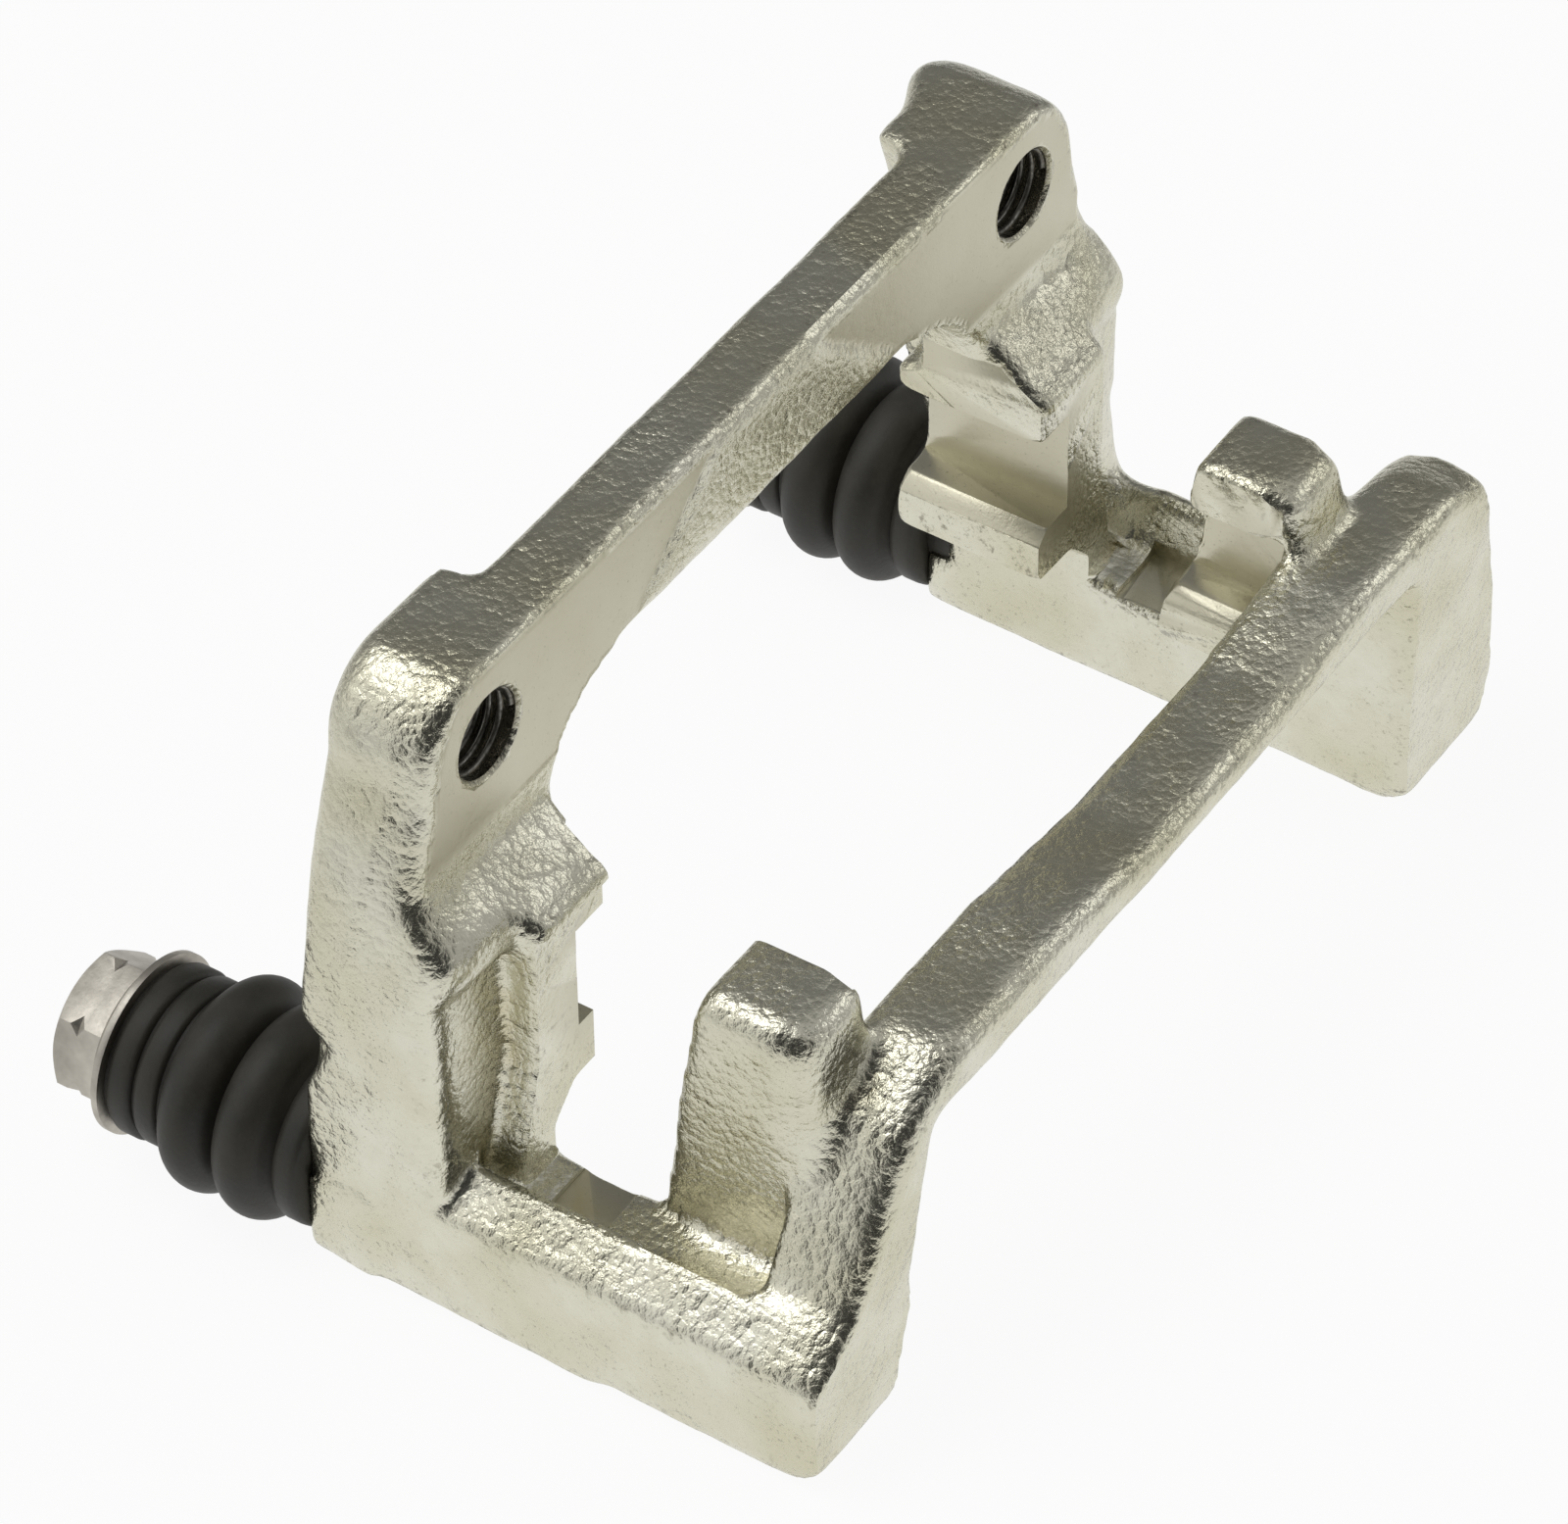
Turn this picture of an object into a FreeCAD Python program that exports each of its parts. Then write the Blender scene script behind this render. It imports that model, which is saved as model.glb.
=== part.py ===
import FreeCAD, Part
import math
import os
import Sketcher

# Brake caliper bracket: one iron casting, two guide pins, two rubber bellows boots.
# Frame in millimetres: X along the two mounting holes, +Y towards the pin heads, +Z up,
# with the origin midway between the two mounting holes on the milled mounting face.
# Heights below count up from the arms' undersides; each body is then lowered so that
# the holes lie at z = 0. The near side is -X, the far side is +X.

os.makedirs("parts", exist_ok=True)
doc = FreeCAD.newDocument("caliper_bracket")
sheet = doc.addObject("Spreadsheet::Sheet", "sizes")
V = FreeCAD.Vector


class Size:
    """A length that knows its number and the sheet formula that drives it."""

    def __init__(self, value, formula):
        self.value = float(value)
        self.formula = formula

    def __add__(self, other):
        other = sized(other)
        return Size(self.value + other.value, "(" + self.formula + " + " + other.formula + ")")

    def __sub__(self, other):
        other = sized(other)
        return Size(self.value - other.value, "(" + self.formula + " - " + other.formula + ")")

    def __mul__(self, other):
        other = sized(other)
        return Size(self.value * other.value, "(" + self.formula + " * " + other.formula + ")")

    def __truediv__(self, other):
        other = sized(other)
        return Size(self.value / other.value, "(" + self.formula + " / " + other.formula + ")")

    def __neg__(self):
        return Size(-self.value, "(-1 * " + self.formula + ")")


def sized(number):
    """Plain numbers become sizes too, so both can stand in one sum."""
    return number if isinstance(number, Size) else Size(number, repr(float(number)))


def smaller(first, second):
    """The lesser of two sizes, in the sheet's own words."""
    first, second = sized(first), sized(second)
    return Size(min(first.value, second.value),
                "min(" + first.formula + "; " + second.formula + ")")


rows = []


def size(name, value):
    """Write one driving dimension into the sheet and hand it back."""
    rows.append(name)
    cell = "A" + str(len(rows))
    sheet.set(cell, str(value))
    sheet.setAlias(cell, name)
    return Size(value, "sizes." + name)


# Mounting holes and the flange around them
hole_half = size("hole_half", 57)
hole_height = size("hole_height", 76)
thread_radius = size("thread_radius", 5.2)
mouth_radius = size("mouth_radius", 6.1)
flange_top = size("flange_top", 87)
ear_half = size("ear_half", 69)
ear_low = size("ear_low", 74.5)
ear_round = size("ear_round", 11)
ear_inner = size("ear_inner", 45.5)
ear_thick = size("ear_thick", 15.5)
ear_blend = size("ear_blend", 2)
ear_back_round = size("ear_back_round", 3.7)
beam_thick = size("beam_thick", 9.5)
beam_round = size("beam_round", 3)
arch_height = size("arch_height", 70.6)
arch_round = size("arch_round", 18)
shoulder_half = size("shoulder_half", 73.5)
shoulder_height = size("shoulder_height", 61)
elbow_height = size("elbow_height", 50)
skin_proud = size("skin_proud", 0.5)
skin_top_half = size("skin_top_half", 9)
skin_low_half = size("skin_low_half", 26)
skin_top_gap = size("skin_top_gap", 2)
skin_low_gap = size("skin_low_gap", 1)

# Legs and arms
arm_outer = size("arm_outer", 75.5)
arm_inner = size("arm_inner", 59.4)
leg_front = size("leg_front", 3.5)
leg_round = size("leg_round", 2.5)
floor_height = size("floor_height", 15)
floor_edge = size("floor_edge", 69)
rim_drop = size("rim_drop", 0.5)
rim_height = size("rim_height", 19.5)
channel_start = size("channel_start", 13)
channel_end = size("channel_end", 21)
channel_step = size("channel_step", 0.8)
dent_depth = size("dent_depth", 4)
dent_height = size("dent_height", 34)
dent_width = size("dent_width", 5)
dent_reach = size("dent_reach", 3)
foot_proud = size("foot_proud", 0.8)
foot_height = size("foot_height", 11.7)
foot_start = size("foot_start", 6.6)

# Pad abutments: an upper lip, a slot and a lower lip on every arm
lip_half = size("lip_half", 47.3)
lip_top = size("lip_top", 52.5)
slot_top = size("slot_top", 46.8)
slot_half = size("slot_half", 54)
slot_low = size("slot_low", 31.4)
slot_run_out = size("slot_run_out", 8)
low_lip_bevel = size("low_lip_bevel", 1.9)
low_lip_under = size("low_lip_under", 24)
under_half = size("under_half", 55)
rib_front = size("rib_front", 8.8)
rib_half = size("rib_half", 62)
rib_foot_half = size("rib_foot_half", 66.5)
rib_back = size("rib_back", 12)
ledge_height = size("ledge_height", 60)
ledge_reach = size("ledge_reach", 6)
ledge_drop = size("ledge_drop", 5.2)
ledge_thick = size("ledge_thick", 4)

# Outboard blocks and the tie bar
block_outer = size("block_outer", 60.5)
block_front = size("block_front", 31)
block_foot = size("block_foot", 24.5)
bar_inner = size("bar_inner", 43.5)
bar_outer = size("bar_outer", 56)
bar_top = size("bar_top", 45)
bar_dip = size("bar_dip", 2.8)
bar_thick = size("bar_thick", 11.5)
near_shoulder = size("near_shoulder", 46)
near_knee = size("near_knee", 55.5)
near_knee_drop = size("near_knee_drop", 6)
near_hip = size("near_hip", 67.5)
near_inside = size("near_inside", 50)
near_inside_foot = size("near_inside_foot", 55)
far_outer = size("far_outer", 80)
far_lean = size("far_lean", 3)
far_drop = size("far_drop", 1)
bar_round = size("bar_round", 2.8)
bar_end_round = size("bar_end_round", 6)
bar_draft = size("bar_draft", 6)
bar_draft_width = size("bar_draft_width", 8)
block_round = size("block_round", 3)

# Guide pins and their bores
pin_height = size("pin_height", 10.2)
pin_half = size("pin_half", 67.5)
shank_radius = size("shank_radius", 5)
shank_clearance = size("shank_clearance", 0.05)
tip_bevel = size("tip_bevel", 1)
bore_end = size("bore_end", 3)
pin_gap = size("pin_gap", 5.5)
seat_radius = size("seat_radius", 8)
seat_depth = size("seat_depth", 4)
neck_radius = size("neck_radius", 6.6)
neck_start = size("neck_start", 36)
neck_slope = size("neck_slope", 1)
flange_start = size("flange_start", 44.4)
flange_edge = size("flange_edge", 0.9)
flange_end = size("flange_end", 46.6)
flange_radius = size("flange_radius", 11.9)
hex_end = size("hex_end", 53.5)
nick_depth = size("nick_depth", 0.7)
nick_half = size("nick_half", 1.3)
hex_flats = size("hex_flats", 17)
hex_bevel = size("hex_bevel", 1.5)
bolt_radius = size("bolt_radius", 3.4)
bolt_depth = size("bolt_depth", 20)

# Bellows boots
wall = size("wall", 1.6)
collar_radius = size("collar_radius", 11.1)
collar_groove = size("collar_groove", 0.6)
fold_radius = size("fold_radius", 14.1)
valley_radius = size("valley_radius", 10.1)
root_radius = size("root_radius", 11.7)
root_slope = size("root_slope", 1)
fold_start = size("fold_start", 20)
seat_clearance = size("seat_clearance", 0.1)
FOLDS = 2
RINGS = 3

# Every cut runs past the surface it opens, and every pad starts inside the one before
OVERLAP = 1
# The bar's roundings may take these shares of its depth at most
END_SHARE, CREST_SHARE = 0.48, 0.25
doc.recompute()


def plane(body, role):
    """The body's own origin plane of that name."""
    return [part for part in body.Origin.OriginFeatures if part.Role == role][0]


POINTS = {"start": 1, "end": 2, "centre": 3}


def hold(profile, line, point, across, up):
    """Lock one point of a sketch by two sheet formulas."""
    for kind, axis, wanted in (("DistanceX", -2, sized(across)), ("DistanceY", -1, sized(up))):
        if wanted.value == 0:
            profile.addConstraint(Sketcher.Constraint("PointOnObject", line, point, axis))
            continue
        number = profile.addConstraint(
            Sketcher.Constraint(kind, -1, 1, line, point, wanted.value))
        profile.setExpression("Constraints[" + str(number) + "]", wanted.formula)


def sketch(body, name, role, offset, loops):
    """Closed outlines on an origin plane. A corner is (u, v); a third value turns the stretch
    to the next corner into an arc whose centre has that u, bulging away from the first axis."""
    profile = body.newObject("Sketcher::SketchObject", name)
    profile.AttachmentSupport = [(plane(body, role), "")]
    profile.MapMode = "FlatFace"
    profile.setExpression("AttachmentOffset.Base.z", sized(offset).formula)
    for loop in loops:
        corners = [[sized(number) for number in corner] for corner in loop]
        first = profile.GeometryCount
        ends = []
        for index, corner in enumerate(corners):
            after = corners[(index + 1) % len(corners)]
            here = V(corner[0].value, corner[1].value, 0)
            there = V(after[0].value, after[1].value, 0)
            if len(corner) == 2:
                profile.addGeometry(Part.LineSegment(here, there), False)
                ends.append(("start", "end"))
                continue
            centre = V(corner[2].value, (here.y + there.y) / 2, 0)
            low, high = sorted((here.y - centre.y, there.y - centre.y))
            reach = here.x - centre.x
            circle = Part.Circle(centre, V(0, 0, 1), math.hypot(reach, high))
            profile.addGeometry(
                Part.ArcOfCircle(circle, math.atan2(low, reach), math.atan2(high, reach)), False)
            ends.append(("start", "end") if here.y < there.y else ("end", "start"))
        for index, corner in enumerate(corners):
            follower = (index + 1) % len(corners)
            profile.addConstraint(Sketcher.Constraint(
                "Coincident", first + index, POINTS[ends[index][1]],
                first + follower, POINTS[ends[follower][0]]))
        for index, corner in enumerate(corners):
            hold(profile, first + index, POINTS[ends[index][0]], corner[0], corner[1])
            if len(corner) == 3:
                number = profile.addConstraint(Sketcher.Constraint(
                    "DistanceX", -1, 1, first + index, POINTS["centre"], corner[2].value))
                profile.setExpression("Constraints[" + str(number) + "]", corner[2].formula)
    return profile


def pad(body, name, role, offset, length, loops):
    """Material grown along the plane's normal from offset over length."""
    profile = sketch(body, name + "_outline", role, offset, loops)
    feature = body.newObject("PartDesign::Pad", name)
    feature.Profile = profile
    feature.setExpression("Length", sized(length).formula)
    body.Tip = feature
    doc.recompute()
    return feature


def pad_across(body, name, back, front, loops):
    """Material between two depths: outline in X and Z, from y = back down to y = front."""
    return pad(body, name, "XZ_Plane", -sized(back), sized(back) - front, loops)


def cut(body, name, profile, length, reverse=False):
    """Material taken away from a sketch over a length, with a look that it really cuts."""
    before = body.Shape.Volume
    feature = body.newObject("PartDesign::Pocket", name)
    feature.Profile = profile
    feature.Reversed = reverse
    feature.setExpression("Length", length.formula)
    body.Tip = feature
    doc.recompute()
    if not feature.Shape.Volume < before:
        raise RuntimeError(name + " cuts nothing")
    return feature


def cut_across(body, name, back, front, loops):
    """Material taken away between two depths: outline in X and Z, y = front up to y = back."""
    profile = sketch(body, name + "_outline", "XZ_Plane", -sized(front), loops)
    return cut(body, name, profile, sized(back) - front)


def both(loop):
    """The same outline on the far side and, mirrored, on the near side."""
    return [loop, [(-sized(u), v) for u, v in reversed(loop)]]


def mirrored(body, name, originals):
    """Repeat features on the other side of the middle plane."""
    feature = body.newObject("PartDesign::Mirrored", name)
    feature.Originals = originals
    feature.MirrorPlane = (plane(body, "YZ_Plane"), [""])
    body.Tip = feature
    doc.recompute()
    return feature


def near(value, wanted):
    """True when a coordinate sits on the wanted size."""
    return abs(value - sized(wanted).value) < 0.02


def edges_where(feature, test):
    """Names of the edges whose bounding box passes the test."""
    names = []
    for index, edge in enumerate(feature.Shape.Edges):
        if test(edge.BoundBox):
            names.append("Edge" + str(index + 1))
    return names


def rounded(body, name, radius, test):
    """Fillet every edge that passes the test."""
    base = body.Tip
    names = edges_where(base, test)
    if not names:
        raise RuntimeError(name + " finds no edge")
    feature = body.newObject("PartDesign::Fillet", name)
    feature.Base = (base, names)
    feature.setExpression("Radius", radius.formula)
    body.Tip = feature
    doc.recompute()
    if "Invalid" in feature.State or "Error" in feature.State or not feature.Shape.isValid():
        raise RuntimeError(name + " fails on " + str(names))
    return feature


def depthwise(box, half, height):
    """True for an edge along Y at the given half width and height, on either side."""
    return (near(box.XLength, 0) and near(box.ZLength, 0)
            and near(abs(box.XMax), half) and near(box.ZMax, height))


def on_depth(box, depth):
    """True for an edge that lies in the plane y = depth."""
    return near(box.YMin, depth) and near(box.YMax, depth)


def holes(body, name, centres, back, front, radius):
    """Round holes along Y between two depths; centres are (x, z) pairs."""
    profile = body.newObject("Sketcher::SketchObject", name + "_outline")
    profile.AttachmentSupport = [(plane(body, "XZ_Plane"), "")]
    profile.MapMode = "FlatFace"
    profile.setExpression("AttachmentOffset.Base.z", (-sized(front)).formula)
    for across, height in centres:
        middle = V(sized(across).value, sized(height).value, 0)
        circle = profile.addGeometry(Part.Circle(middle, V(0, 0, 1), radius.value), False)
        hold(profile, circle, POINTS["centre"], across, height)
        number = profile.addConstraint(Sketcher.Constraint("Radius", circle, radius.value))
        profile.setExpression("Constraints[" + str(number) + "]", radius.formula)
    return cut(body, name, profile, sized(back) - front)


# The casting
bracket = doc.addObject("PartDesign::Body", "bracket")
bracket.setExpression("Placement.Base.z", (-hole_height).formula)

# Flange plate: ears and beam in one outline, arched underneath
crown = [(ear_half, flange_top), (ear_half, ear_low), (shoulder_half, shoulder_height),
         (arm_outer, elbow_height), (lip_half, elbow_height), (lip_half, arch_height)]
outline = [(-u, v) for u, v in reversed(crown)] + crown
pad_across(bracket, "flange_plate", beam_thick, 0, [outline])
rounded(bracket, "arch_corners", arch_round,
        lambda box: depthwise(box, lip_half, arch_height))

# Ears and the thick upper legs behind them
ear = [(ear_inner, flange_top), (ear_half, flange_top), (ear_half, ear_low),
       (shoulder_half, shoulder_height), (arm_outer, elbow_height), (arm_outer, 0),
       (arm_inner, 0), (arm_inner, slot_low), (slot_half, slot_top), (slot_half, ledge_height)]
pad_across(bracket, "ears", ear_thick, beam_thick - OVERLAP, both(ear))
rounded(bracket, "ear_corners", ear_round,
        lambda box: depthwise(box, ear_half, flange_top))

# Legs, with the lips' lower slope on their inner side
leg = [(arm_outer, 0), (arm_outer, elbow_height), (lip_half, elbow_height),
       (lip_half, low_lip_under), (under_half, low_lip_under), (arm_inner, rim_height),
       (arm_inner, 0)]
pad_across(bracket, "legs", rib_back, -leg_front, both(leg))

# Ledge in front of the ears, sloping down to the upper lips
lip_slope = [(0, ledge_height), (-rib_front, lip_top), (-rib_front, elbow_height),
             (0, elbow_height)]
lip_pad = pad(bracket, "lip_slope", "YZ_Plane", lip_half, rib_half - lip_half, [lip_slope])
ledge_low = ledge_height - ledge_drop - ledge_thick
ledge_foot = ledge_low - ledge_thick / 2
ledge = [(0, ledge_height), (-ledge_reach, ledge_height - ledge_drop), (-ledge_reach, ledge_low),
         (-leg_front, ledge_foot), (0, ledge_foot)]
ledge_pad = pad(bracket, "ledge", "YZ_Plane", rib_half, arm_outer - rib_half, [ledge])
mirrored(bracket, "near_ledges", [lip_pad, ledge_pad])

# Abutment ribs, machined flush at their front
rib_top = lip_top - OVERLAP
rib = [(lip_half, rib_top), (rib_half, rib_top), (rib_half, slot_low),
       (rib_foot_half, floor_height), (arm_inner, floor_height), (arm_inner, rim_height),
       (under_half, low_lip_under), (lip_half, low_lip_under)]
pad_across(bracket, "ribs", 0, -rib_front, both(rib))

# Arms under the disc channels, with a raised outer rim of cast skin
arm = [(arm_inner, 0), (arm_outer, 0), (arm_outer, floor_height - rim_drop),
       (floor_edge, rim_height), (floor_edge, floor_height), (arm_inner, floor_height)]
pad_across(bracket, "arms", 0, -(bar_outer - OVERLAP * 2), both(arm))

# Outboard blocks, wider at the foot
bar_low = bar_top - bar_thick
block_back = -bar_inner - OVERLAP * 2
block = [(-block_front, lip_top), (block_back, lip_top), (block_back, bar_low),
         (-bar_inner, bar_low), (-bar_inner, 0), (-block_foot, 0), (-block_foot, floor_height)]
block_pad = pad(bracket, "far_block", "YZ_Plane", lip_half, block_outer - lip_half, [block])
mirrored(bracket, "near_block", [block_pad])

# Tie bar: dips in the middle, slopes down to the near arm, stands square on the far arm
bar = [(arm_inner, 0), (arm_outer, 0), (far_outer, floor_height),
       (far_outer - far_lean, bar_top - far_drop), (near_shoulder, bar_top),
       (hole_half / 2, bar_top - bar_dip), (0, bar_top - bar_dip),
       (-near_shoulder / 2, bar_top), (-near_shoulder, bar_top),
       (-near_knee, bar_top - near_knee_drop), (-near_hip, rim_height),
       (-arm_outer, floor_height - rim_drop), (-arm_outer, 0), (-arm_inner, 0),
       (-near_inside_foot, floor_height), (-near_inside, bar_low), (arm_inner, bar_low)]
pad_across(bracket, "tie_bar", -bar_inner, -bar_outer, [bar])

# Slots for the brake pads' ears and the bevel of the lower lips
bevel_top = slot_low - low_lip_bevel
window = lip_half - slot_run_out
slot = [(window, slot_top), (slot_half, slot_top), (slot_half, slot_low),
        (lip_half + low_lip_bevel, slot_low), (lip_half, bevel_top), (window, bevel_top)]
cut_across(bracket, "pad_slots", rib_back + OVERLAP, -bar_inner, both(slot))
below = [(window, low_lip_under), (under_half, low_lip_under), (arm_inner, rim_height),
         (arm_inner, -OVERLAP), (window, -OVERLAP)]
cut_across(bracket, "under_lips", rib_back + OVERLAP, -bar_inner, both(below))

# Turned step in the channel floors
step_inner, step_top = arm_inner - OVERLAP, floor_height + OVERLAP
step = [(step_inner, floor_height - channel_step), (floor_edge, floor_height - channel_step),
        (floor_edge, step_top), (step_inner, step_top)]
cut_across(bracket, "floor_steps", -channel_start, -channel_end, both(step))

# Dent between ear plate and pin boss, on the outer back edge
dent = [(ear_thick + OVERLAP, dent_height + dent_width), (ear_thick - dent_depth, dent_height),
        (ear_thick + OVERLAP, dent_height - dent_width * 2)]
dent_sketch = sketch(bracket, "dent_outline", "YZ_Plane", arm_outer - dent_reach, [dent])
far_dent = cut(bracket, "far_dent", dent_sketch, dent_reach + OVERLAP, True)
mirrored(bracket, "near_dent", [far_dent])

# Foot pads at the inboard lower corners and the unmilled middle of the beam
foot_inner = arm_outer - OVERLAP * 2
foot = [(foot_inner, 0), (arm_outer + foot_proud, 0), (arm_outer + foot_proud, foot_height),
        (foot_inner, foot_height)]
pad_across(bracket, "foot_pads", ear_thick, foot_start, both(foot))
skin_top, skin_low = flange_top - skin_top_gap, arch_height + skin_low_gap
skin = [(-skin_top_half, skin_top), (skin_top_half, skin_top),
        (skin_low_half, skin_low), (-skin_low_half, skin_low)]
pad_across(bracket, "cast_skin", OVERLAP, -skin_proud, [skin])

# Underside of the tie bar, drafted away from its outer edge
wedge_foot, wedge_back = bar_low - OVERLAP, -bar_outer - OVERLAP
wedge = [(wedge_back, wedge_foot), (-bar_outer + bar_draft_width, wedge_foot),
         (wedge_back, bar_low + bar_draft)]
wedge_sketch = sketch(bracket, "bar_draft_outline", "YZ_Plane", -near_inside, [wedge])
cut(bracket, "bar_underside", wedge_sketch, near_inside + arm_inner, True)

# Cast roundings
rounded(bracket, "ear_steps", ear_blend,
        lambda box: on_depth(box, beam_thick) and near(box.ZMax, flange_top)
        and not near(box.ZMin, flange_top))
rounded(bracket, "ear_backs", ear_back_round,
        lambda box: on_depth(box, ear_thick) and box.ZMin > elbow_height.value - 0.1)
rounded(bracket, "arch_back", beam_round,
        lambda box: on_depth(box, beam_thick) and box.ZMin > elbow_height.value
        and abs(box.Center.x) < ear_inner.value and box.ZMax < arch_height.value + 0.1)
bar_depth = bar_outer - bar_inner
rounded(bracket, "bar_ends", smaller(bar_end_round, bar_depth * END_SHARE),
        lambda box: near(box.ZMin, 0) and near(box.ZMax, 0) and on_depth(box, -bar_outer))
rounded(bracket, "bar_crest", smaller(bar_round, bar_depth * CREST_SHARE),
        lambda box: on_depth(box, -bar_outer) and box.ZMin > (bar_low + bar_draft).value)
rounded(bracket, "block_tops", block_round,
        lambda box: depthwise(box, block_outer, lip_top))
rounded(bracket, "leg_edges", leg_round,
        lambda box: near(box.XLength, 0) and near(abs(box.XMin), arm_outer)
        and on_depth(box, -leg_front))

# Threaded mounting holes right through the ears, with countersunk mouths
mount_centres = [(hole_half, hole_height), (-hole_half, hole_height)]
threads = holes(bracket, "mounting_holes", mount_centres, ear_thick + OVERLAP, -OVERLAP,
                thread_radius)
mouth = bracket.newObject("PartDesign::Chamfer", "hole_mouths")
mouth.Base = (threads, edges_where(threads, lambda box: near(box.YLength, 0)
                                   and near(box.XLength, thread_radius * 2)
                                   and near(box.ZLength, thread_radius * 2)))
mouth.setExpression("Size", (mouth_radius - thread_radius).formula)
bracket.Tip = mouth
doc.recompute()

# Blind pin bores and the shallow seats of the boots
pin_centres = [(pin_half, pin_height), (-pin_half, pin_height)]
holes(bracket, "pin_bores", pin_centres, ear_thick + OVERLAP, -bore_end,
      shank_radius + shank_clearance)
holes(bracket, "boot_seats", pin_centres, ear_thick + OVERLAP, ear_thick - seat_depth,
      seat_radius)


def turned(body, name, kind, loop):
    """A profile of (radius, depth) corners turned once about the body's own Y axis."""
    profile = sketch(body, name + "_outline", "XY_Plane", 0, [loop])
    feature = body.newObject(kind, name)
    feature.Profile = profile
    feature.ReferenceAxis = (profile, ["V_Axis"])
    feature.Angle = 360
    body.Tip = feature
    doc.recompute()
    return feature


def on_pin_axis(name, side):
    """An empty body whose Y axis is the axis of one guide pin: side 1 is far, -1 is near."""
    body = doc.addObject("PartDesign::Body", name)
    body.setExpression("Placement.Base.x", (pin_half * side).formula)
    body.setExpression("Placement.Base.z", (pin_height - hole_height).formula)
    return body


def guide_pin(name, side, turn):
    """Shank, neck, flange and hexagon with nicked corners and a threaded hole in its end."""
    body = on_pin_axis(name, side)
    tip = pin_gap - bore_end
    half = hex_flats / 2
    corner = hex_flats / math.sqrt(3)
    beyond = corner + OVERLAP
    turned(body, name + "_shank", "PartDesign::Revolution", [
        (0, tip), (shank_radius - tip_bevel, tip), (shank_radius, tip + tip_bevel),
        (shank_radius, neck_start - neck_slope), (neck_radius, neck_start), (neck_radius, flange_start),
        (flange_radius, flange_start), (flange_radius, flange_start + flange_edge),
        (corner, flange_end), (0, flange_end)])
    hexagon = []
    for index in range(6):
        angle = math.radians(turn + 60 * index)
        hexagon.append((corner * math.cos(angle), corner * math.sin(angle)))
    pad_across(body, name + "_hexagon", hex_end, flange_start + flange_edge, [hexagon])
    turned(body, name + "_hexagon_bevel", "PartDesign::Groove", [
        (half, hex_end), (beyond, hex_end - hex_bevel), (beyond, hex_end)])
    middle = (flange_end + hex_end) / 2
    turned(body, name + "_nicks", "PartDesign::Groove", [
        (corner - nick_depth, middle), (beyond, middle - nick_half * 2),
        (beyond, middle + nick_half * 2)])
    holes(body, name + "_thread", [(0, 0)], hex_end + OVERLAP, hex_end - bolt_depth, bolt_radius)
    return body


def bellows_boot(name, side):
    """Rubber bellows: plug in the seat, root collar, round folds and a collar on the neck."""
    body = on_pin_axis(name, side)
    pitch = (neck_start - fold_start) / FOLDS
    rise = fold_radius - valley_radius
    outer_arc = (pitch * pitch / 4 + rise * rise) / (rise * 2)
    inner_arc = outer_arc - wall
    middle = fold_radius - outer_arc
    plug = seat_radius - seat_clearance
    loop = [(plug - wall, ear_thick - seat_depth), (plug, ear_thick - seat_depth),
            (plug, ear_thick), (root_radius, ear_thick), (root_radius, fold_start - root_slope)]
    for index in range(FOLDS):
        loop.append((valley_radius, fold_start + pitch * index, middle))
    ring = (flange_start - neck_start) / RINGS
    loop.append((valley_radius, neck_start))
    for index in range(RINGS):
        low = neck_start + ring * index
        loop += [(collar_radius, low + collar_groove), (collar_radius, low + ring - collar_groove),
                 (collar_radius - collar_groove, low + ring)]
    loop += [(neck_radius, flange_start), (neck_radius, neck_start)]
    for index in reversed(range(FOLDS)):
        crest = fold_start + pitch * (index + 0.5)
        loop += [(valley_radius - wall, crest + pitch / 2 - wall / 2),
                 (middle, crest + inner_arc, middle), (middle, crest - inner_arc),
                 (valley_radius - wall, crest - pitch / 2 + wall / 2)]
    loop.append((plug - wall, fold_start))
    turned(body, name + "_bellows", "PartDesign::Revolution", loop)
    return body


FAR, NEAR = 1, -1
far_turn, near_turn = 15, 80
pieces = {"bracket": bracket,
          "far_guide_pin": guide_pin("far_guide_pin", FAR, far_turn),
          "near_guide_pin": guide_pin("near_guide_pin", NEAR, near_turn),
          "far_boot": bellows_boot("far_boot", FAR),
          "near_boot": bellows_boot("near_boot", NEAR)}
doc.recompute()

for thing in doc.Objects:
    if "Invalid" in thing.State or "Error" in thing.State:
        raise RuntimeError(thing.Name + " is not sound")
for name, body in pieces.items():
    body.Label = name
    if body.Shape.isNull() or not body.Shape.isValid() or len(body.Shape.Solids) != 1:
        raise RuntimeError(name + " is not one sound solid")
    body.Shape.exportStep("parts/" + name + ".step")
    print(name, round(body.Shape.Volume), "mm3", body.Shape.BoundBox)
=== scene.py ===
# %% [markdown]
# A brake caliper bracket in Blender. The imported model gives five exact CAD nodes: one
# iron casting, two guide pins and two rubber boots. They fix every size. Here each of
# them gets the skin of the real thing: sand-cast, zinc-plated iron, turned steel and
# moulded rubber. We start by loading the frame and keeping its box.

# %% Load the frame
import bpy
import bmesh
import math
import numpy as np
from mathutils import Matrix, Vector, noise


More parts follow.
